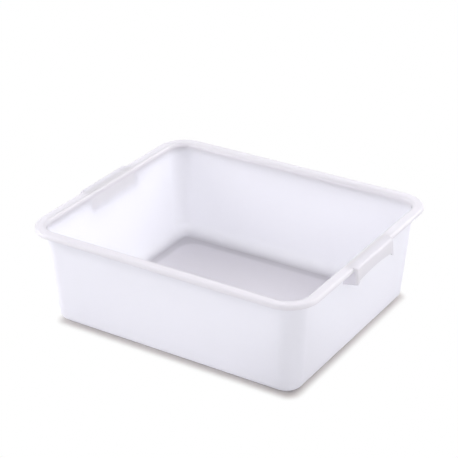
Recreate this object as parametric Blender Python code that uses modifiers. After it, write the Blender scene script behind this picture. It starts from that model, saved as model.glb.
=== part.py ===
# A shallow white plastic tub with a turned-out rim and a hand grip at each end.
# The real tub is one moulding. Each region of it is a solid of its own here:
# the floor, four walls, four corners, the rim and two grips.
# Metres, +Z up, origin on the ground under the middle of the floor, long side along X.

import math

import bmesh
import bpy
from mathutils import Matrix, Vector

# Overall size over the rim; the grips stand proud of it
RIM_LENGTH = 0.530
RIM_WIDTH = 0.450
TUB_HEIGHT = 0.176

# Walls and floor
WALL_THICKNESS = 0.003
WALL_LEAN = 0.0145  # how far a wall leans out between the ground and the top of the rim
FLOOR_THICKNESS = 0.003
FLOOR_STRIP = 0.003  # flat strip of the floor that belongs to the walls
FLOOR_FILLET = 0.020  # inside, between floor and wall
FOOT_RADIUS = 0.014  # outside, between underside and wall
BASE_CORNER_RADIUS = 0.0295  # outside, where the walls would reach the ground unrounded

# Rim, from its outer edge inwards
RIM_CORNER_RADIUS = 0.0535
RIM_EDGE_RADIUS = 0.005  # where the rim turns down into its lip
RIM_FLAT = 0.009  # level part of the rim
RIM_CREST_RADIUS = 0.006  # where the wall turns out into the rim
RIM_THICKNESS = 0.003
LIP_DROP = 0.0025  # straight part of the lip below its edge
RIM_ROOT = 0.003  # straight wall that belongs to the rim, below the crest

# Hand grips, in the middle of each end
GRIP_LENGTH = 0.125
GRIP_REACH = 0.005  # how far a grip stands out past the rim
GRIP_FLARE = 0.0024  # how much further out it is at the foot of its end plates
GRIP_CORNER = 0.0045  # rounding at each end of a grip
GRIP_THICKNESS = 0.003
SKIRT_DEPTH = 0.024  # from the top of the rim to the ends of the skirt's lower edge
SKIRT_ARCH = 0.003  # how far that edge rises in the middle
PLATE_DROP = 0.0055  # how far the end plates hang below the skirt
PLATE_BLEND = 0.003  # length over which the skirt's edge comes down to them
PLATE_FALL = 0.0042  # how much lower an end plate is at the wall
POCKET_RADIUS = 0.002  # edges inside the finger pocket

# Between neighbouring solids, and past a face that a cutter goes through
SEAM_GAP = 0.0003
CUT_OVERRUN = 0.010

# Floor and foot are rounded by at most this share of the radius of the base corners
FOOT_LIMIT_SHARE = 0.8
# A hollow rounding is at least this share of the thickness of its sheet
HOLLOW_ROUND_SHARE = 0.3
# Where the seam between rim and grip lies across the level part of the rim
GRIP_SEAM_SHARE = 0.5
# Points closer than this share of a seam are one
WELD_SHARE = 0.01

CORNER_STEPS = 12
FOOT_STEPS = 8
CREST_STEPS = 5
EDGE_STEPS = 4
ARCH_STEPS = 10
POCKET_STEPS = 2
SMOOTH_ANGLE = math.radians(35)
QUARTER_TURN = math.radians(90)
HALF_TURN = math.radians(180)

LEAN_SLOPE = WALL_LEAN / TUB_HEIGHT
LEAN_ANGLE = math.atan(LEAN_SLOPE)

CREST_LEVEL = TUB_HEIGHT - RIM_CREST_RADIUS
EDGE_LEVEL = TUB_HEIGHT - RIM_EDGE_RADIUS
UNDERSIDE_LEVEL = TUB_HEIGHT - RIM_THICKNESS
ROOT_LEVEL = CREST_LEVEL - RIM_ROOT
LIP_LEVEL = EDGE_LEVEL - LIP_DROP
SKIRT_LEVEL = TUB_HEIGHT - SKIRT_DEPTH
PLATE_LEVEL = SKIRT_LEVEL - PLATE_DROP
CUT_LEVEL = PLATE_LEVEL - PLATE_FALL - CUT_OVERRUN

# One section runs round the whole tub. "Out" is its distance from the upright axis of a
# corner of the rim; the straight walls are the same section, drawn along the sides.
RIM_OUT = RIM_CORNER_RADIUS
EDGE_OUT = RIM_OUT - RIM_EDGE_RADIUS
CREST_OUT = EDGE_OUT - RIM_FLAT
GRIP_SEAM = CREST_OUT + RIM_FLAT * GRIP_SEAM_SHARE
GRIP_OUT = RIM_OUT + GRIP_REACH
CORNER_X = RIM_LENGTH / 2 - RIM_OUT
CORNER_Y = RIM_WIDTH / 2 - RIM_OUT

# The wall's faces, drawn on to the ground
INNER_FOOT = CREST_OUT - RIM_CREST_RADIUS / math.cos(LEAN_ANGLE) - CREST_LEVEL * LEAN_SLOPE
OUTER_FOOT = INNER_FOOT + WALL_THICKNESS

# Below the rim the axes of the corners lean in, so that the corners stay well rounded
CORNER_SLOPE = (BASE_CORNER_RADIUS - OUTER_FOOT) / ROOT_LEVEL


def face_out(foot, level):
    """Where the wall's face that meets the ground at this foot is, at a level."""
    return foot + level * LEAN_SLOPE


def hollow_centre(foot, level, radius):
    """How far out a rounding is centred that touches a face from the middle of the tub."""
    return face_out(foot, level) - radius / math.cos(LEAN_ANGLE)


def crown_centre(foot, level, radius):
    """How far out a rounding is centred that touches a face from outside the tub."""
    return face_out(foot, level) + radius / math.cos(LEAN_ANGLE)


LEAST_HOLLOW = RIM_THICKNESS * HOLLOW_ROUND_SHARE
CREST_HOLLOW = max(RIM_CREST_RADIUS - RIM_THICKNESS, LEAST_HOLLOW)
EDGE_HOLLOW = max(RIM_EDGE_RADIUS - RIM_THICKNESS, LEAST_HOLLOW)
FOOT_ROUND = min(FOOT_RADIUS, BASE_CORNER_RADIUS * FOOT_LIMIT_SHARE)
FLOOR_ROUND = min(FLOOR_FILLET, (BASE_CORNER_RADIUS - WALL_THICKNESS) * FOOT_LIMIT_SHARE)
FOOT_EDGE = hollow_centre(OUTER_FOOT, FOOT_ROUND, FOOT_ROUND)
FLOOR_EDGE = hollow_centre(INNER_FOOT, FLOOR_THICKNESS + FLOOR_ROUND, FLOOR_ROUND)
FLOOR_SEAM = min(FLOOR_EDGE, FOOT_EDGE) - FLOOR_STRIP
FLARE_SLOPE = GRIP_FLARE / (EDGE_LEVEL - PLATE_LEVEL)
GRIP_FLANK = GRIP_LENGTH / 2 - GRIP_CORNER
SKIRT_HALF = GRIP_FLANK - PLATE_BLEND

# Each side's middle, and the turn that brings the section's "out" to it
SIDES = {
    "right": ((CORNER_X, 0, 0), 0),
    "rear": ((0, CORNER_Y, 0), QUARTER_TURN),
    "left": ((-CORNER_X, 0, 0), HALF_TURN),
    "front": ((0, -CORNER_Y, 0), -QUARTER_TURN),
}
CORNERS = {
    "rear_right": ((CORNER_X, CORNER_Y, 0), 0),
    "rear_left": ((-CORNER_X, CORNER_Y, 0), QUARTER_TURN),
    "front_left": ((-CORNER_X, -CORNER_Y, 0), HALF_TURN),
    "front_right": ((CORNER_X, -CORNER_Y, 0), -QUARTER_TURN),
}

WALL_WHITE = (0.84, 0.83, 0.86)
FLOOR_WHITE = (0.80, 0.79, 0.83)
RIM_WHITE = (0.86, 0.85, 0.88)
GRIP_WHITE = (0.85, 0.84, 0.87)
SATIN_ROUGHNESS = 0.38
FLOOR_ROUGHNESS = 0.45


def arc(out, up, radius, start, end, steps):
    """Points of an arc about (out, up), from one angle to the other."""
    angles = [start + (end - start) * step / steps for step in range(steps + 1)]
    return [(out + radius * math.cos(a), up + radius * math.sin(a)) for a in angles]


def wall_section():
    """The wall, from the edge of the floor round its foot and up to the root of the rim."""
    top = ROOT_LEVEL - SEAM_GAP
    floor_up = FLOOR_THICKNESS + FLOOR_ROUND
    inner = arc(FLOOR_EDGE, floor_up, FLOOR_ROUND, -QUARTER_TURN, -LEAN_ANGLE, FOOT_STEPS)
    head = [(face_out(INNER_FOOT, top), top), (face_out(OUTER_FOOT, top), top)]
    outer = arc(FOOT_EDGE, FOOT_ROUND, FOOT_ROUND, -LEAN_ANGLE, -QUARTER_TURN, FOOT_STEPS)
    strip = [(FLOOR_SEAM, 0), (FLOOR_SEAM, FLOOR_THICKNESS)]
    return inner + head + outer + strip


def crest_hollow(clearance):
    """The hollow rounding under the crest, from the underside of the rim to the wall."""
    up = UNDERSIDE_LEVEL - CREST_HOLLOW
    out = crown_centre(OUTER_FOOT, up, CREST_HOLLOW)
    radius = CREST_HOLLOW - clearance
    return arc(out, up, radius, QUARTER_TURN, HALF_TURN - LEAN_ANGLE, CREST_STEPS)


def rim_section():
    """The root, crest, level part, edge and lip of the rim, and back along its underside."""
    lip_inner = RIM_OUT - RIM_THICKNESS
    hollow_out = lip_inner - EDGE_HOLLOW
    hollow_up = UNDERSIDE_LEVEL - EDGE_HOLLOW
    crest_end = HALF_TURN - LEAN_ANGLE
    root = [(face_out(INNER_FOOT, ROOT_LEVEL), ROOT_LEVEL)]
    crest = arc(CREST_OUT, CREST_LEVEL, RIM_CREST_RADIUS, crest_end, QUARTER_TURN, CREST_STEPS)
    edge = arc(EDGE_OUT, EDGE_LEVEL, RIM_EDGE_RADIUS, QUARTER_TURN, 0, EDGE_STEPS)
    lip = [(RIM_OUT, LIP_LEVEL), (lip_inner, LIP_LEVEL)]
    hollow = arc(hollow_out, hollow_up, EDGE_HOLLOW, 0, QUARTER_TURN, EDGE_STEPS)
    back = [(face_out(OUTER_FOOT, ROOT_LEVEL), ROOT_LEVEL)]
    return root + crest + edge + lip + hollow + crest_hollow(0) + back


def grip_seat_section():
    """The wall and the inner half of the rim, grown by the gap that a grip keeps to them."""
    top = TUB_HEIGHT + CUT_OVERRUN
    seam = GRIP_SEAM + SEAM_GAP
    behind = [(0, CUT_LEVEL), (0, top)]
    step = [(seam, top), (seam, UNDERSIDE_LEVEL - SEAM_GAP)]
    wall = [(face_out(OUTER_FOOT, CUT_LEVEL) + SEAM_GAP, CUT_LEVEL)]
    return behind + step + crest_hollow(SEAM_GAP) + wall


def pocket_section():
    """The room for the fingers under a grip, inside its leaning skirt."""
    inside = GRIP_OUT - GRIP_THICKNESS
    flared = inside + (EDGE_LEVEL - CUT_LEVEL) * FLARE_SLOPE
    behind = [(0, CUT_LEVEL), (0, UNDERSIDE_LEVEL)]
    return behind + [(inside, UNDERSIDE_LEVEL), (inside, EDGE_LEVEL), (flared, CUT_LEVEL)]


def grip_stations():
    """Where the sections of a grip stand along it, each with how far out it reaches."""
    rounding = arc(GRIP_FLANK, GRIP_OUT - GRIP_CORNER, GRIP_CORNER, QUARTER_TURN, 0, EDGE_STEPS)
    middle = [(SKIRT_HALF * (2 * step / ARCH_STEPS - 1), GRIP_OUT) for step in range(ARCH_STEPS + 1)]
    return [(-along, reach) for along, reach in reversed(rounding)] + middle + rounding


def lower_edge(along):
    """The level of a grip's lower edge: arched along the skirt, lowest at the end plates."""
    share = abs(along) / SKIRT_HALF
    if share > 1:
        return PLATE_LEVEL
    return SKIRT_LEVEL + SKIRT_ARCH * (1 - share ** 2)


def grip_ring(along, reach):
    """A section of a grip, solid back into the wall."""
    bottom = lower_edge(along)
    flared = reach + (EDGE_LEVEL - bottom) * FLARE_SLOPE
    edge_out = reach - RIM_EDGE_RADIUS
    edge = arc(edge_out, EDGE_LEVEL, RIM_EDGE_RADIUS, QUARTER_TURN, 0, EDGE_STEPS)
    skirt = [(flared, bottom), (INNER_FOOT, bottom - PLATE_FALL)]
    return [(out, along, up) for out, up in [(INNER_FOOT, TUB_HEIGHT)] + edge + skirt]


def leaning(x_slope, y_slope):
    """A shear that leaves the level of the rim's root where it is."""
    shear = Matrix.Identity(4)
    for row, slope in enumerate((x_slope, y_slope)):
        shear[row][2] = slope
        shear[row][3] = -slope * ROOT_LEVEL
    return shear


def finished_mesh(bm):
    """The mesh of a closed shape, smooth but for its real edges."""
    bmesh.ops.remove_doubles(bm, verts=bm.verts, dist=SEAM_GAP * WELD_SHARE)
    bmesh.ops.recalc_face_normals(bm, faces=bm.faces)
    mesh = bpy.data.meshes.new("shape")
    bm.to_mesh(mesh)
    bm.free()
    mesh.shade_smooth()
    mesh.set_sharp_from_angle(angle=SMOOTH_ANGLE)
    return mesh


def section_face(bm, section, along):
    """A section as one face, standing at a place along Y."""
    return bm.faces.new([bm.verts.new((out, along, up)) for out, up in section])


def straight_mesh(section, half, end_slope=0):
    """A section drawn along Y to both sides; its ends may lean, level with the rim's root."""
    bm = bmesh.new()
    face = section_face(bm, section, -half)
    behind = list(face.verts)
    drawn = bmesh.ops.extrude_face_region(bm, geom=[face], use_keep_orig=True)
    ahead = [item for item in drawn["geom"] if isinstance(item, bmesh.types.BMVert)]
    bmesh.ops.translate(bm, verts=ahead, vec=(0, 2 * half, 0))
    bmesh.ops.transform(bm, verts=ahead, matrix=leaning(0, end_slope))
    bmesh.ops.transform(bm, verts=behind, matrix=leaning(0, -end_slope))
    return finished_mesh(bm)


def corner_mesh(section):
    """A section turned through a quarter about the leaning axis of a corner."""
    bm = bmesh.new()
    upright = [(out + CORNER_SLOPE * (ROOT_LEVEL - up), up) for out, up in section]
    face = section_face(bm, upright, 0)
    turned = [face, *face.edges, *face.verts]
    bmesh.ops.spin(bm, geom=turned, axis=(0, 0, 1), angle=QUARTER_TURN, steps=CORNER_STEPS)
    bmesh.ops.transform(bm, verts=bm.verts, matrix=leaning(CORNER_SLOPE, CORNER_SLOPE))
    return finished_mesh(bm)


def ring_mesh(section):
    """A section taken round all four corners and along the sides between them."""
    bm = bmesh.new()
    centres = [Vector(place) for place, turn in CORNERS.values()]
    points = [bm.verts.new(centres[0] + Vector((out, 0, up))) for out, up in section]
    front = [bm.edges.new(pair) for pair in zip(points, points[1:] + points[:1])]
    for centre, following in zip(centres, centres[1:] + centres[:1]):
        turned = front + list({point for edge in front for point in edge.verts})
        corner = bmesh.ops.spin(
            bm, geom=turned, cent=centre, axis=(0, 0, 1), angle=QUARTER_TURN, steps=CORNER_STEPS
        )
        last = [item for item in corner["geom_last"] if isinstance(item, bmesh.types.BMEdge)]
        side = bmesh.ops.extrude_edge_only(bm, edges=last)["geom"]
        ahead = {item for item in side if isinstance(item, bmesh.types.BMVert)}
        edges = [item for item in side if isinstance(item, bmesh.types.BMEdge)]
        front = [edge for edge in edges if ahead.issuperset(edge.verts)]
        bmesh.ops.translate(bm, verts=list(ahead), vec=following - centre)
    return finished_mesh(bm)


def lofted_mesh(rings):
    """A skin over a row of rings with as many points each, closed at both ends."""
    bm = bmesh.new()
    rows = [[bm.verts.new(point) for point in ring] for ring in rings]
    for row, following in zip(rows, rows[1:]):
        quads = zip(row, row[1:] + row[:1], following[1:] + following[:1], following)
        for quad in quads:
            bm.faces.new(quad)
    bm.faces.new(rows[0])
    bm.faces.new(rows[-1])
    return finished_mesh(bm)


def box_mesh(low, high):
    """A box between two corners."""
    bm = bmesh.new()
    size = [above - below for below, above in zip(low, high)]
    centre = [(below + above) / 2 for below, above in zip(low, high)]
    bmesh.ops.create_cube(bm, size=1, matrix=Matrix.LocRotScale(centre, None, size))
    return finished_mesh(bm)


def plastic(name, colour, roughness):
    """A milky white moulding plastic with a satin surface."""
    material = bpy.data.materials.new(name)
    material.use_nodes = True
    shader = material.node_tree.nodes["Principled BSDF"]
    shader.inputs["Base Color"].default_value = (*colour, 1)
    shader.inputs["Roughness"].default_value = roughness
    shader.inputs["Metallic"].default_value = 0
    return material


def add_object(name, data, collection, place, turn):
    """An object at its place, turned about the upright axis."""
    data.name = name
    made = bpy.data.objects.new(name, data)
    made.location = place
    made.rotation_euler.z = turn
    collection.objects.link(made)
    return made


def add_part(name, data, collection, spot, material, base):
    """A sub-part of the tub, standing on the tub's base point."""
    data.materials.append(material)
    made = add_object(name, data, collection, *spot)
    made.parent = base
    return made


def add_cutter(name, mesh, collection, spot, cuts):
    """A helper that is taken out of another object."""
    cutter = add_object(name, mesh, collection, *spot)
    cutter.hide_render = True
    cutter.display_type = "WIRE"
    taken = cuts.modifiers.new(name, "BOOLEAN")
    taken.operation = "DIFFERENCE"
    taken.object = cutter
    return cutter


def floor_curve():
    """The flat floor inside the strip of the walls, half its thickness to each side."""
    curve = bpy.data.curves.new("floor", "CURVE")
    curve.dimensions = "2D"
    curve.fill_mode = "BOTH"
    curve.extrude = FLOOR_THICKNESS / 2
    inset = CORNER_SLOPE * ROOT_LEVEL
    radius = FLOOR_SEAM - SEAM_GAP + inset
    outline = []
    for (x, y, _), turn in CORNERS.values():
        x -= math.copysign(inset, x)
        y -= math.copysign(inset, y)
        outline += arc(x, y, radius, turn, turn + QUARTER_TURN, CORNER_STEPS)
    spline = curve.splines.new("POLY")
    spline.points.add(len(outline) - 1)
    for point, (x, y) in zip(spline.points, outline):
        point.co = (x, y, 0, 1)
    spline.use_cyclic_u = True
    return curve


def add_grip(side, rim, parts, cutters, material, base):
    """The outer half of the rim at one end, with the skirt and end plates of the grip."""
    spot = SIDES[side]
    rings = [grip_ring(along, reach) for along, reach in grip_stations()]
    grip = add_part(f"{side}_grip", lofted_mesh(rings), parts, spot, material, base)
    half = GRIP_LENGTH / 2
    notch_half = half + SEAM_GAP
    seat = straight_mesh(grip_seat_section(), half + CUT_OVERRUN)
    add_cutter(f"{side}_grip_seat", seat, cutters, spot, grip)
    pocket = straight_mesh(pocket_section(), half - GRIP_THICKNESS)
    hollow = add_cutter(f"{side}_finger_pocket", pocket, cutters, spot, grip)
    rounding = hollow.modifiers.new("rounding", "BEVEL")
    rounding.width = POCKET_RADIUS
    rounding.segments = POCKET_STEPS
    notch = box_mesh(
        (GRIP_SEAM, -notch_half, LIP_LEVEL - CUT_OVERRUN),
        (RIM_OUT + CUT_OVERRUN, notch_half, TUB_HEIGHT + CUT_OVERRUN),
    )
    add_cutter(f"{side}_rim_notch", notch, cutters, spot, rim)


def clear_scene():
    """An empty scene to model in."""
    for existing in list(bpy.data.objects):
        bpy.data.objects.remove(existing)


def new_collection(name):
    """A collection in the scene."""
    collection = bpy.data.collections.new(name)
    bpy.context.scene.collection.children.link(collection)
    return collection


def build_tub():
    """All the sub-parts, and the cutters that shape some of them."""
    clear_scene()
    parts = new_collection("plastic_tub")
    cutters = new_collection("tub_cutters")
    cutters.hide_render = True
    base = bpy.data.objects.new("tub_base", None)
    parts.objects.link(base)

    floor_plastic = plastic("floor_plastic", FLOOR_WHITE, FLOOR_ROUGHNESS)
    wall_plastic = plastic("wall_plastic", WALL_WHITE, SATIN_ROUGHNESS)
    rim_plastic = plastic("rim_plastic", RIM_WHITE, SATIN_ROUGHNESS)
    grip_plastic = plastic("grip_plastic", GRIP_WHITE, SATIN_ROUGHNESS)

    middle = ((0, 0, FLOOR_THICKNESS / 2), 0)
    add_part("floor", floor_curve(), parts, middle, floor_plastic, base)
    for side, spot in SIDES.items():
        run = CORNER_Y if side in ("left", "right") else CORNER_X
        wall = straight_mesh(wall_section(), run - SEAM_GAP, CORNER_SLOPE)
        add_part(f"{side}_wall", wall, parts, spot, wall_plastic, base)
    for corner, spot in CORNERS.items():
        add_part(f"{corner}_corner", corner_mesh(wall_section()), parts, spot, wall_plastic, base)
    upright = ((0, 0, 0), 0)
    rim = add_part("rim", ring_mesh(rim_section()), parts, upright, rim_plastic, base)
    for side in ("left", "right"):
        add_grip(side, rim, parts, cutters, grip_plastic, base)


build_tub()
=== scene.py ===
import math

import bmesh
import bpy
from mathutils import Matrix, Vector


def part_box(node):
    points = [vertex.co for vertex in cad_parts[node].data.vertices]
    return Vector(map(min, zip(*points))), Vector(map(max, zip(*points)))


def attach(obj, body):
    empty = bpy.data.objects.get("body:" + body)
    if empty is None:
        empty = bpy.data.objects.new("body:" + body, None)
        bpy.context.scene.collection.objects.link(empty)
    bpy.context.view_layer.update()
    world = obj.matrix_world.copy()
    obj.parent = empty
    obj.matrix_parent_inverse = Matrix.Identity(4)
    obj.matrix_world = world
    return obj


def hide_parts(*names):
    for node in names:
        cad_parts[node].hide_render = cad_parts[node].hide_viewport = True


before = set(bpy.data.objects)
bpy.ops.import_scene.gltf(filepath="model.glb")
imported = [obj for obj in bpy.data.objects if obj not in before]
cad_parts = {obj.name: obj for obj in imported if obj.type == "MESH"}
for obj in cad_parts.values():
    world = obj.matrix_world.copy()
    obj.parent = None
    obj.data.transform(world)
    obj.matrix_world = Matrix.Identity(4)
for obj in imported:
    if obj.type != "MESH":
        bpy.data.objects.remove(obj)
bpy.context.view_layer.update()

# A milky white plastic tub on a white ground. Metres, long side along X, +Z up.
print("tub: frame loaded,", len(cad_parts), "nodes")

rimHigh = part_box("rim")[1]
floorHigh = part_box("floor")[1]

quarterTurn = math.pi / 2
weld = 0.000002
sharpAngle = math.radians(35)


def allOf(bm):
    return bm.verts[:] + bm.edges[:] + bm.faces[:]


def roundCorner(bm, corner, radius, segments):
    # a section's corner turned into an arc of this radius
    toward = [(edge.other_vert(corner).co - corner.co).normalized() for edge in corner.link_edges]
    halfTurn = (math.pi - toward[0].angle(toward[1])) / 2
    bmesh.ops.bevel(
        bm, geom=[corner], offset=radius * math.tan(halfTurn), offset_type="OFFSET",
        segments=segments, profile=0.5, affect="VERTICES", material=-1,
    )


def sectionLoop(bm, corners):
    # corners are (out, up, radius, segments); what stays is the closed line round the section
    verts = [bm.verts.new((out, 0, up)) for out, up, radius, segments in corners]
    bm.faces.new(verts)
    for corner, (out, up, radius, segments) in zip(verts, corners):
        if radius:
            roundCorner(bm, corner, radius, segments)
    bmesh.ops.delete(bm, geom=bm.faces[:], context="FACES_ONLY")


def leanMatrix(slope, level):
    # a shear along both axes that leaves this level where it is
    lean = Matrix.Identity(4)
    for row in (0, 1):
        lean[row][2] = slope
        lean[row][3] = -slope * level
    return lean


def onlyVerts(geom):
    return [item for item in geom if isinstance(item, bmesh.types.BMVert)]


def onlyEdges(geom):
    return [item for item in geom if isinstance(item, bmesh.types.BMEdge)]


def drawToMiddle(bm, edges, flatten):
    # draws the end of a quarter out to the middle plane of the tub
    drawn = bmesh.ops.extrude_edge_only(bm, edges=edges)["geom"]
    bmesh.ops.scale(bm, vec=flatten, verts=onlyVerts(drawn))


def quarterRing(bm, axis, steps, slope=0, level=0):
    # turns the section about the axis of the rear right corner and draws both ends to the middle
    if slope:
        upright = Matrix.Identity(4)
        upright[0][2] = -slope
        upright[0][3] = slope * level
        bmesh.ops.transform(bm, matrix=upright, verts=bm.verts)
    start = bm.edges[:]
    turned = bmesh.ops.spin(
        bm, geom=bm.verts[:] + start, axis=(0, 0, 1), cent=(0, 0, 0),
        angle=quarterTurn, steps=steps, use_merge=False, use_duplicate=False,
    )
    if slope:
        bmesh.ops.transform(bm, matrix=leanMatrix(slope, level), verts=bm.verts)
    bmesh.ops.translate(bm, vec=axis, verts=bm.verts)
    drawToMiddle(bm, start, (1, 0, 1))
    drawToMiddle(bm, onlyEdges(turned["geom_last"]), (0, 1, 1))


def mirrorQuarters(bm):
    for axis in ("X", "Y"):
        bmesh.ops.mirror(bm, geom=allOf(bm), matrix=Matrix.Identity(4), merge_dist=weld, axis=axis)


def finishPiece(name, bm, material, nodes):
    bmesh.ops.remove_doubles(bm, verts=bm.verts, dist=weld)
    bmesh.ops.recalc_face_normals(bm, faces=bm.faces)
    mesh = bpy.data.meshes.new(name)
    bm.to_mesh(mesh)
    bm.free()
    mesh.shade_smooth()
    mesh.set_sharp_from_angle(angle=sharpAngle)
    mesh.materials.append(material)
    piece = bpy.data.objects.new(name, mesh)
    bpy.context.scene.collection.objects.link(piece)
    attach(piece, "root")
    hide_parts(*nodes)


class Wire:
    # a node's output; sums on it add Math nodes
    def __init__(self, tree, socket=None):
        self.tree = tree
        self.socket = socket

    def node(self, kind, settings=None, inputs=None, output=0):
        made = self.tree.nodes.new(kind)
        for name, value in (settings or {}).items():
            if name == "stops":
                for stop, (place, shade) in zip(made.color_ramp.elements, value):
                    stop.position = place
                    stop.color = (shade, shade, shade, 1)
            else:
                setattr(made, name, value)
        for name, value in (inputs or {}).items():
            if isinstance(value, Wire):
                self.tree.links.new(value.socket, made.inputs[name])
            else:
                made.inputs[name].default_value = value
        return Wire(self.tree, made.outputs[output] if made.outputs else None)

    def sum(self, operation, first, second):
        return self.node("ShaderNodeMath", {"operation": operation}, {0: first, 1: second})

    def __add__(self, other):
        return self.sum("ADD", self, other)

    def __radd__(self, other):
        return self.sum("ADD", other, self)

    def __sub__(self, other):
        return self.sum("SUBTRACT", self, other)

    def __rsub__(self, other):
        return self.sum("SUBTRACT", other, self)

    def __mul__(self, other):
        return self.sum("MULTIPLY", self, other)

    def __rmul__(self, other):
        return self.sum("MULTIPLY", other, self)

    def __abs__(self):
        return self.sum("ABSOLUTE", self, 0)

    def noise(self, scale, detail, roughness):
        return self.node("ShaderNodeTexNoise", {"normalize": True},
                         {"Vector": self, "Scale": scale, "Detail": detail, "Roughness": roughness})

    def ramp(self, low, high, first=0.0, last=1.0, kind="SMOOTHSTEP"):
        return self.node("ShaderNodeMapRange", {"interpolation_type": kind, "clamp": True},
                         {"Value": self, "From Min": low, "From Max": high, "To Min": first, "To Max": last})

    def between(self, first, last):
        # a colour between these two, by this value
        return self.node("ShaderNodeMix", {"data_type": "RGBA"}, {"Factor": self, 6: first, 7: last}, output=2)


def newMaterial(name):
    material = bpy.data.materials.new(name)
    material.use_nodes = True
    material.node_tree.nodes.clear()
    return material, Wire(material.node_tree)


def beyondOblong(start, core, shift=(0, 0, 0)):
    # how far a point lies outside an upright oblong of this half size, seen from above
    place = start.node("ShaderNodeTexCoord", output="Object")
    steps = (("SUBTRACT", shift), ("ABSOLUTE", None), ("SUBTRACT", (*core, 1)), ("MAXIMUM", (0, 0, 0)))
    for operation, other in steps:
        inputs = {0: place} if other is None else {0: place, 1: other}
        place = start.node("ShaderNodeVectorMath", {"operation": operation}, inputs)
    return start.node("ShaderNodeVectorMath", {"operation": "LENGTH"}, {0: place}, output="Value")


def plainRay(start):
    # 1 for what the camera sees straight on, mirrored or through the plastic, 0 for scattered light
    rays = [start.node("ShaderNodeLightPath", output="Is %s Ray" % kind)
            for kind in ("Camera", "Glossy", "Transmission")]
    return start.node("ShaderNodeClamp", None, {"Value": rays[0] + rays[1] + rays[2]})


def milkyPlastic(name, look):
    material, start = newMaterial(name)
    place = start.node("ShaderNodeTexCoord", output="Object")
    height = start.node("ShaderNodeSeparateXYZ", inputs={"Vector": place}, output="Z")
    across = start.node("ShaderNodeSeparateXYZ", inputs={"Vector": place}, output="Y")

    # slow clouds in the melt, fine grain of the mould, and a soft unevenness in between
    clouds = place.noise(look["cloudScale"], 3.0, 0.5)
    grain = place.noise(look["grainScale"], 2.0, 0.6)
    peel = place.noise(look["peelScale"], 2.0, 0.5)

    # hair scratches two ways across, strongest low down, where things slide
    rubs = []
    for turn, seed in look["scratchTurns"]:
        along = start.node("ShaderNodeMapping", None, {
            "Vector": place, "Location": (seed, 0, 0), "Rotation": (0, 0, turn), "Scale": look["scratchScale"],
        })
        line = along.noise(1.0, 1.0, 0.4)
        rubs.append(start.node("ShaderNodeValToRGB", {"stops": look["scratchStops"]}, {"Fac": line}))
    low = height.ramp(0.0, look["wearHeight"], 1.0, look["highWear"], kind="LINEAR")
    worn = (rubs[0] + rubs[1]) * low * look["wear"]

    tone = clouds.between((*look["colour"], 1), (*look["cloud"], 1))
    tone = (worn * look["scuffTone"]).between(tone, (*look["scuff"], 1))
    if "edgeShade" in look:
        # painted shade: the floor is darker in a band round its edge, where it runs into the walls
        edgeShade = beyondOblong(start, look["edgeShadeCore"]).ramp(look["edgeShadeStart"], look["edgeShadeStart"] + look["edgeShadeSoft"])
        tone = edgeShade.between(tone, (*look["edgeShade"], 1))
    rough = (clouds - 0.5) * look["cloudGloss"] + (peel - 0.5) * look["peelGloss"] + worn * look["wornGloss"]
    rough = rough + look["roughness"]
    relief = (grain - 0.5) * look["grain"] + (peel - 0.5) * look["peel"] - worn * look["scratch"]
    bump = start.node("ShaderNodeBump", None, {"Height": relief, "Distance": 1.0, "Strength": 1.0})

    body = start.node("ShaderNodeBsdfPrincipled", None, {
        "Base Color": tone, "Roughness": rough, "Normal": bump, "IOR": look["refraction"],
    })
    through = start.node("ShaderNodeBsdfTranslucent", None, {"Color": (*look["inside"], 1), "Normal": bump})
    share = look["through"]
    if "thicker" in look:
        # less light comes through where the walls run into the rim
        share = share - height.ramp(look["thinAt"], look["thickAt"]) * look["thicker"]
    if "gripShade" in look:
        # less light comes through behind the grips
        half, lowest, soft = look["shadeHalf"], look["shadeLow"], look["shadeSoft"]
        beside = abs(across).ramp(half - soft, half + soft, 1.0, 0.0, kind="LINEAR")
        above = height.ramp(lowest - soft, lowest + soft, kind="LINEAR")
        share = share - beside * above * look["gripShade"]
    both = start.node("ShaderNodeMixShader", None, {0: share, 1: body, 2: through})
    start.node("ShaderNodeOutputMaterial", None, {"Surface": both})
    return material


plasticLook = {
    "colour": (0.930, 0.913, 0.944),
    "cloud": (0.912, 0.895, 0.928),
    "cloudScale": 7.0,
    "inside": (0.924, 0.931, 0.968),  # the light that comes through
    "through": 0.50,  # its share, against 1 - share thrown back
    "refraction": 1.51,
    "roughness": 0.34,
    "cloudGloss": 0.10,  # how far clouds, peel and wear move the roughness
    "peelGloss": 0.06,
    "wornGloss": 0.14,
    "grain": 0.000010,  # grain, peel and scratch are depths of the relief
    "grainScale": 900.0,
    "peel": 0.000030,
    "peelScale": 85.0,
    "wear": 0.5,
    "highWear": 0.25,  # what is left of the wear above wearHeight
    "wearHeight": 0.09,
    "scuff": (0.80, 0.79, 0.82),
    "scuffTone": 0.12,
    "scratch": 0.000003,
    "scratchTurns": ((0.35, 0.0), (-1.05, 3.0)),
    "scratchScale": (12, 520, 60),
    "scratchStops": ((0.66, 0.0), (0.74, 1.0)),
}
floorLook = {
    **plasticLook,
    # painted light: lighter than the walls' colour, though it is the same plastic, to lift the floor's darker
    # tone
    "colour": (0.955, 0.926, 0.973),
    "cloud": (0.936, 0.907, 0.952),
    "through": 0.38,
    "roughness": 0.30,
    "wear": 0.9,
    # painted shade: the darker colour of the band round the floor's edge, and where that band starts and fades
    "edgeShade": (0.77, 0.745, 0.785),
    "edgeShadeCore": (floorHigh.x - 0.045, floorHigh.y - 0.045),
    "edgeShadeStart": 0.025,
    "edgeShadeSoft": 0.010,
}
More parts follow.
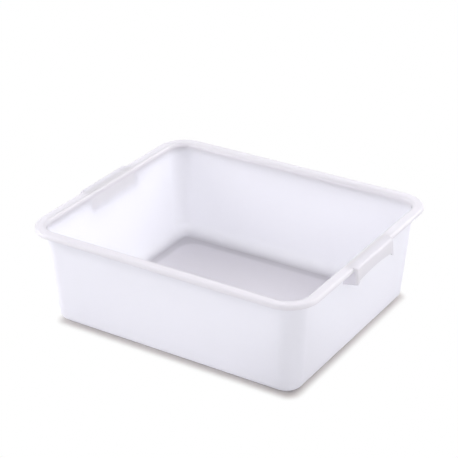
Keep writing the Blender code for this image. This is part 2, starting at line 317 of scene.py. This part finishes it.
rimLook = {
    **plasticLook,
    # painted light: lighter than the walls' colour, though it is the same plastic, to lift the rim's tone
    "colour": (0.958, 0.928, 0.966),
    "cloud": (0.943, 0.913, 0.951),
    "through": 0.38,
    "thicker": 0.14,  # how much less comes through at thickAt than at thinAt
    "thinAt": rimHigh.z - 0.0005,
    "thickAt": rimHigh.z - 0.006,
    "roughness": 0.18,
    "wear": 0.4,
    "highWear": 0.3,
}
gripLook = {
    **rimLook,
    # painted light: lighter and bluer than the rim's colour, though it is the same plastic, to lift the grips'
    # tone
    "colour": (0.966, 0.938, 0.995),
    "cloud": (0.950, 0.922, 0.980),
    "through": 0.32,
    "wear": 0.3,
}
wallLook = {
    **plasticLook,
    "thicker": 0.16,
    "thinAt": rimHigh.z - 0.018,
    "thickAt": rimHigh.z - 0.007,
    "gripShade": 0.34,  # how much less comes through behind a grip
    "shadeHalf": 0.0625,
    "shadeLow": rimHigh.z - 0.028,
    "shadeSoft": 0.001,
}
wallPlastic = milkyPlastic("wallPlastic", wallLook)
floorPlastic = milkyPlastic("floorPlastic", floorLook)
rimPlastic = milkyPlastic("rimPlastic", rimLook)
gripPlastic = milkyPlastic("gripPlastic", gripLook)
print("tub: plastics made")


# The section that runs round the tub; "out" is measured from a rim corner's upright axis.
tub = {
    "wall": 0.003,
    "lean": 0.0145,  # how far the wall leans out over the whole height
    "floor": 0.003,
    "floorFillet": 0.020,
    "foot": 0.014,
    "baseCorner": 0.0295,
    "rimCorner": 0.0535,
    "rimEdge": 0.005,
    "rimFlat": 0.009,
    "crest": 0.006,
    "rimSheet": 0.003,
    "rimDepth": rimHigh.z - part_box("rim")[0].z,
    "lipDepth": 0.0075,
    "lipRound": 0.0011,
    "cornerSteps": 24,
    "filletSteps": 18,
    "footSteps": 18,
    "crestSteps": 14,
    "rimEdgeSteps": 12,
    "underSteps": 8,
    "lipSteps": 5,
}
top = rimHigh.z
axisX = rimHigh.x - tub["rimCorner"]
axisY = rimHigh.y - tub["rimCorner"]
slope = tub["lean"] / top
rootLevel = top - tub["rimDepth"]
crestOut = tub["rimCorner"] - tub["rimEdge"] - tub["rimFlat"]
innerFoot = crestOut - tub["crest"] / math.cos(math.atan(slope)) - (top - tub["crest"]) * slope
outerFoot = innerFoot + tub["wall"]
cornerSlope = (tub["baseCorner"] - outerFoot) / rootLevel
floorSeam = floorHigh.x - axisX


def wallAt(foot, level):
    return foot + level * slope


def addWalls():
    bm = bmesh.new()
    sectionLoop(bm, [
        (floorSeam, tub["floor"], 0, 0),
        (wallAt(innerFoot, tub["floor"]), tub["floor"], tub["floorFillet"], tub["filletSteps"]),
        (wallAt(innerFoot, rootLevel), rootLevel, 0, 0),
        (wallAt(outerFoot, rootLevel), rootLevel, 0, 0),
        (outerFoot, 0, tub["foot"], tub["footSteps"]),
        (floorSeam, 0, 0, 0),
    ])
    quarterRing(bm, (axisX, axisY, 0), tub["cornerSteps"], cornerSlope, rootLevel)
    mirrorQuarters(bm)
    nodes = [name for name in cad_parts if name.endswith(("_wall", "_corner"))]
    finishPiece("walls", bm, wallPlastic, nodes)


def addFloor():
    # the flat middle, out to the strip that the walls carry; the strip's corners are round too
    bm = bmesh.new()
    lean = cornerSlope * (rootLevel - tub["floor"] / 2)
    first = bm.verts.new((floorSeam + lean, 0, tub["floor"]))
    arc = bmesh.ops.spin(bm, geom=[first], axis=(0, 0, 1), cent=(0, 0, 0), angle=quarterTurn,
                         steps=tub["cornerSteps"], use_merge=False, use_duplicate=False)
    bmesh.ops.translate(bm, vec=(axisX - lean, axisY - lean, 0), verts=bm.verts)
    for vert, flatten in ((first, (1, 0, 1)), (onlyVerts(arc["geom_last"])[0], (0, 1, 1))):
        drawn = bmesh.ops.extrude_vert_indiv(bm, verts=[vert])["verts"]
        bmesh.ops.scale(bm, vec=flatten, verts=drawn)
    mirrorQuarters(bm)
    bmesh.ops.remove_doubles(bm, verts=bm.verts, dist=weld)
    upper = bmesh.ops.contextual_create(bm, geom=bm.edges[:])["faces"]
    lower = bmesh.ops.extrude_face_region(bm, geom=upper, use_keep_orig=True)["geom"]
    bmesh.ops.translate(bm, vec=(0, 0, -tub["floor"]), verts=onlyVerts(lower))
    finishPiece("floorPanel", bm, floorPlastic, ["floor"])


grip = {
    "length": 0.125,
    "reach": 0.005,
    "flare": 0.0024,
    "corner": 0.0045,
    "sheet": 0.003,
    "depth": 0.024,  # top of the rim down to the ends of the skirt's lower edge
    "arch": 0.003,
    "plateDrop": 0.0055,
    "plateFall": 0.0042,
    "blend": 0.006,
    "round": 0.0009,
    "cove": 0.3,  # where the end plate meets the rounding under the rim, as a share of it
    "straightSteps": 24,
    "turnSteps": 10,
    "edgeSteps": 10,
    "roundSteps": 3,
}
gripSeam = crestOut + tub["rimFlat"] / 2
gripHalf = grip["length"] / 2


def facesBeyond(bm, out):
    # faces along half of the grip that lie further out than this
    middles = [(face, face.calc_center_median()) for face in bm.faces]
    return [face for face, middle in middles if middle.y < gripHalf and middle.x > out]


def notchRim(bm):
    # the outer half of the rim makes room for the grip; bm holds one quarter
    seam = axisX + gripSeam
    bmesh.ops.bisect_plane(bm, geom=allOf(bm), plane_co=(0, gripHalf, 0), plane_no=(0, 1, 0), dist=weld)
    near = facesBeyond(bm, axisX)
    parts = list(dict.fromkeys(part for face in near for part in [*face.edges, *face.verts])) + near
    bmesh.ops.bisect_plane(bm, geom=parts, plane_co=(seam, 0, 0), plane_no=(1, 0, 0), dist=weld)
    bmesh.ops.delete(bm, geom=facesBeyond(bm, seam), context="FACES")
    atSeam = [vert for vert in bm.verts if abs(vert.co.x - seam) < weld and vert.co.y < gripHalf + weld]
    farPair = [vert for vert in atSeam if abs(vert.co.y - gripHalf) < weld]
    bm.edges.new(farPair)
    bmesh.ops.contextual_create(bm, geom=atSeam)
    end = [edge for edge in bm.edges
           if all(abs(v.co.y - gripHalf) < weld and v.co.x > seam - weld for v in edge.verts)]
    bmesh.ops.contextual_create(bm, geom=end)


def addRim():
    bm = bmesh.new()
    out = tub["rimCorner"]
    under = top - tub["rimSheet"]
    lipLevel = top - tub["lipDepth"]
    lipInner = out - tub["rimSheet"]
    sectionLoop(bm, [
        (wallAt(innerFoot, rootLevel), rootLevel, 0, 0),
        (wallAt(innerFoot, top), top, tub["crest"], tub["crestSteps"]),
        (out, top, tub["rimEdge"], tub["rimEdgeSteps"]),
        (out, lipLevel, tub["lipRound"], tub["lipSteps"]),
        (lipInner, lipLevel, tub["lipRound"], tub["lipSteps"]),
        (lipInner, under, tub["rimEdge"] - tub["rimSheet"], tub["underSteps"]),
        (wallAt(outerFoot, under), under, tub["crest"] - tub["rimSheet"], tub["underSteps"]),
        (wallAt(outerFoot, rootLevel), rootLevel, 0, 0),
    ])
    quarterRing(bm, (axisX, axisY, 0), tub["cornerSteps"])
    notchRim(bm)
    mirrorQuarters(bm)
    finishPiece("rolledRim", bm, rimPlastic, ["rim"])


def gripLower(along):
    # level of the lower edge at a distance from the grip's middle
    flank = gripHalf - grip["corner"] - grip["blend"]
    if along <= flank:
        return top - grip["depth"] + grip["arch"] * (1 - (along / flank) ** 2)
    share = min((along - flank) / grip["blend"], 1)
    return top - grip["depth"] - grip["plateDrop"] * share * share * (3 - 2 * share)


def addGrip(name, turn, node):
    # half of the outer skin, drawn from the middle to the end plate, then mirrored and given its thickness
    bm = bmesh.new()
    out = tub["rimCorner"] + grip["reach"]
    flareSlope = grip["flare"] / (grip["depth"] + grip["plateDrop"] - tub["rimEdge"])

    def flared(level):
        return (top - tub["rimEdge"] - level) * flareSlope

    lower = gripLower(0)
    seamVert = bm.verts.new((gripSeam, 0, top))
    edgeVert = bm.verts.new((out, 0, top))
    footVert = bm.verts.new((out + flared(lower), 0, lower))
    bm.faces.new((seamVert, edgeVert, footVert))
    roundCorner(bm, edgeVert, tub["rimEdge"], grip["edgeSteps"])
    bmesh.ops.delete(bm, geom=bm.faces[:], context="FACES_ONLY")
    closing = [edge for edge in bm.edges if set(edge.verts) == {seamVert, footVert}]
    bmesh.ops.delete(bm, geom=closing, context="EDGES")
    front = bm.edges[:]

    straight = gripHalf - grip["corner"]
    count = grip["straightSteps"]
    stations = [(straight * step / count, out) for step in range(1, count + 1)]
    count = grip["turnSteps"]
    for step in range(1, count + 1):
        angle = quarterTurn * step / count
        along = straight + grip["corner"] * math.sin(angle)
        stations.append((along, out - grip["corner"] * (1 - math.cos(angle))))
    lastReach, lastLower = out, lower
    for along, reach in stations:
        drawn = bmesh.ops.extrude_edge_only(bm, edges=front)["geom"]
        ahead = onlyVerts(drawn)
        lower = gripLower(along)
        foot = min(ahead, key=lambda vert: vert.co.z)
        for vert in ahead:
            vert.co.y = along
        moving = [vert for vert in ahead if vert.co.x > gripSeam + weld]
        bmesh.ops.translate(bm, vec=(reach - lastReach, 0, 0), verts=moving)
        bmesh.ops.translate(bm, vec=(flared(lower) - flared(lastLower), 0, lower - lastLower), verts=[foot])
        lastReach, lastLower = reach, lower
        front = [edge for edge in onlyEdges(drawn) if all(abs(v.co.y - along) < weld for v in edge.verts)]

    # the end plate runs back under the rim to the wall
    under = top - tub["rimSheet"]
    plateEnd = lower - grip["plateFall"]
    hollow = tub["crest"] - tub["rimSheet"]
    cove = hollow * grip["cove"]
    back = [
        (wallAt(outerFoot, plateEnd), plateEnd),
        (wallAt(outerFoot, under - hollow), under - hollow),
        (wallAt(outerFoot, under) + cove, under - cove),
        (wallAt(outerFoot, under) + hollow, under),
        (gripSeam, under),
    ]
    backVerts = [bm.verts.new((x, gripHalf, z)) for x, z in back]
    seamEnd = max((vert for edge in front for vert in edge.verts), key=lambda vert: vert.co.z - vert.co.x)
    footEnd = min((vert for edge in front for vert in edge.verts), key=lambda vert: vert.co.z)
    chain = [footEnd, *backVerts, seamEnd]
    backEdges = [bm.edges.new(pair) for pair in zip(chain, chain[1:])]
    bmesh.ops.contextual_create(bm, geom=front + backEdges)
    bmesh.ops.mirror(bm, geom=allOf(bm), matrix=Matrix.Identity(4), merge_dist=weld, axis="Y")
    bmesh.ops.remove_doubles(bm, verts=bm.verts, dist=weld)
    bmesh.ops.recalc_face_normals(bm, faces=bm.faces)
    flat = max(bm.faces, key=lambda face: face.calc_center_median().z)
    if flat.normal.z < 0:
        bmesh.ops.reverse_faces(bm, faces=bm.faces)
    deepest = top - grip["depth"] + grip["arch"] + weld
    lowerEdges = [edge for edge in bm.edges if edge.is_boundary and all(v.co.z < deepest for v in edge.verts)
                  and max(v.co.x for v in edge.verts) > wallAt(outerFoot, top)]
    bmesh.ops.solidify(bm, geom=bm.faces[:], thickness=grip["sheet"])
    bmesh.ops.bevel(bm, geom=lowerEdges, offset=grip["round"], offset_type="OFFSET",
                    segments=grip["roundSteps"], profile=0.5, affect="EDGES", material=-1)
    bmesh.ops.translate(bm, vec=(axisX, 0, 0), verts=bm.verts)
    bmesh.ops.rotate(bm, cent=(0, 0, 0), matrix=Matrix.Rotation(turn, 3, "Z"), verts=bm.verts)
    finishPiece(name, bm, gripPlastic, [node])


addWalls()
print("tub: walls and corners made")
addFloor()
print("tub: floor made")
addRim()
print("tub: rim made")
addGrip("rightGrip", 0, "right_grip")
addGrip("leftGrip", math.pi, "left_grip")
print("tub: grips made")


ground = {
    "size": 8.0,
    "drop": 0.0002,
    "bounce": (0.86, 0.86, 0.86),  # what the ground throws back on the tub
    "shade": (0.60, 0.565, 0.55),  # painted shadow: the colour the camera sees close round the foot, and white further out
    "shift": (0.007, -0.006, 0.0),  # the painted shadow lies a little to the camera's side
    "trim": (0.003, 0.0),  # how much shorter than the foot the painted shadow is, along X and Y
    "round": 0.018,
    "fade": 0.010,
}


def addGround():
    bm = bmesh.new()
    bmesh.ops.create_grid(bm, x_segments=1, y_segments=1, size=ground["size"] / 2)
    bmesh.ops.translate(bm, vec=(0, 0, -ground["drop"]), verts=bm.verts)
    mesh = bpy.data.meshes.new("ground")
    bm.to_mesh(mesh)
    bm.free()
    material, start = newMaterial("groundPaper")
    shown = plainRay(start)
    paper = shown.between((*ground["bounce"], 1), (*ground["shade"], 1))
    matt = start.node("ShaderNodeBsdfDiffuse", None, {"Color": paper})

    # painted shadow: distance from a rounded oblong as large as the foot of the tub; inside it the camera sees
    # the darker shade colour, outside it white
    inset = [ground["round"] + trim for trim in ground["trim"]]
    core = (outerFoot + axisX - inset[0], outerFoot + axisY - inset[1])
    away = beyondOblong(start, core, ground["shift"])
    clear = away.ramp(ground["round"] - ground["fade"], ground["round"] + ground["fade"])
    white = start.node("ShaderNodeEmission", None, {"Color": (1, 1, 1, 1), "Strength": 1.0})
    both = start.node("ShaderNodeMixShader", None, {0: shown * clear, 1: matt, 2: white})
    start.node("ShaderNodeOutputMaterial", None, {"Surface": both})
    mesh.materials.append(material)
    plane = bpy.data.objects.new("ground", mesh)
    bpy.context.scene.collection.objects.link(plane)


def addSky(level, tint):
    # white where the camera looks past the ground, soft light everywhere else
    world = bpy.data.worlds.new("softRoom")
    bpy.context.scene.world = world
    world.use_nodes = True
    world.node_tree.nodes.clear()
    start = Wire(world.node_tree)
    room = start.node("ShaderNodeBackground", None, {"Color": (*tint, 1), "Strength": level})
    white = start.node("ShaderNodeBackground", None, {"Color": (1, 1, 1, 1), "Strength": 1.0})
    both = start.node("ShaderNodeMixShader", None, {0: plainRay(start), 1: room, 2: white})
    start.node("ShaderNodeOutputWorld", None, {"Surface": both})


# Azimuth 0 is the camera's side (-Y), 90 the right (+X); level is how bright a white card facing the panel gets.
skyLevel = 0.080
skyTint = (1.0, 1.0, 1.0)
panelDistance = 2.4
panelSize = 1.0
panels = {
    "leftPanel": {"azimuth": -70, "elevation": 8, "level": 0.29},
    "frontLeftPanel": {"azimuth": -60, "elevation": 28, "level": 0.354},
    "highLeftPanel": {"azimuth": -75, "elevation": 52, "level": 0.10},
    "highFrontPanel": {"azimuth": 0, "elevation": 52, "level": 0.13},
    "rightPanel": {"azimuth": 60, "elevation": 28, "level": 0.20},
    "highRightPanel": {"azimuth": 90, "elevation": 52, "level": 0.11},
    "backPanel": {"azimuth": 150, "elevation": 28, "level": 0.245},
    "highBackPanel": {"azimuth": 150, "elevation": 52, "level": 0.33},
}


def addPanel(name, panel):
    azimuth, elevation = math.radians(panel["azimuth"]), math.radians(panel["elevation"])
    flat = math.cos(elevation)
    toward = Vector((math.sin(azimuth) * flat, -math.cos(azimuth) * flat, math.sin(elevation)))
    data = bpy.data.lights.new(name, "AREA")
    data.shape = "SQUARE"
    data.size = panelSize
    data.energy = panel["level"] * math.pi ** 2 * panelDistance ** 2
    lamp = bpy.data.objects.new(name, data)
    lamp.location = toward * panelDistance
    lamp.rotation_mode = "QUATERNION"
    lamp.rotation_quaternion = (-toward).to_track_quat("-Z", "Y")
    bpy.context.scene.collection.objects.link(lamp)


def addCamera():
    # the photograph's camera, solved from the outlines of the rim and the base
    right = Vector((0.84384, 0.53651, -0.00958))
    up = Vector((-0.23650, 0.38787, 0.89086))
    back = Vector((0.48167, -0.74948, 0.45418))
    eye = Vector((1.21693, -1.90095, 1.29759))
    data = bpy.data.cameras.new("camera")
    data.sensor_width = 36.0
    data.lens = 118.974
    data.clip_start = 0.1
    data.clip_end = 50.0
    camera = bpy.data.objects.new("camera", data)
    camera.matrix_world = Matrix((right, up, back)).transposed().to_4x4()
    camera.location = eye
    bpy.context.scene.collection.objects.link(camera)
    bpy.context.scene.camera = camera


addGround()
addSky(skyLevel, skyTint)
for name, panel in panels.items():
    addPanel(name, panel)
addCamera()
bpy.context.scene.view_settings.view_transform = "Standard"
print("tub: ground, light and camera made")
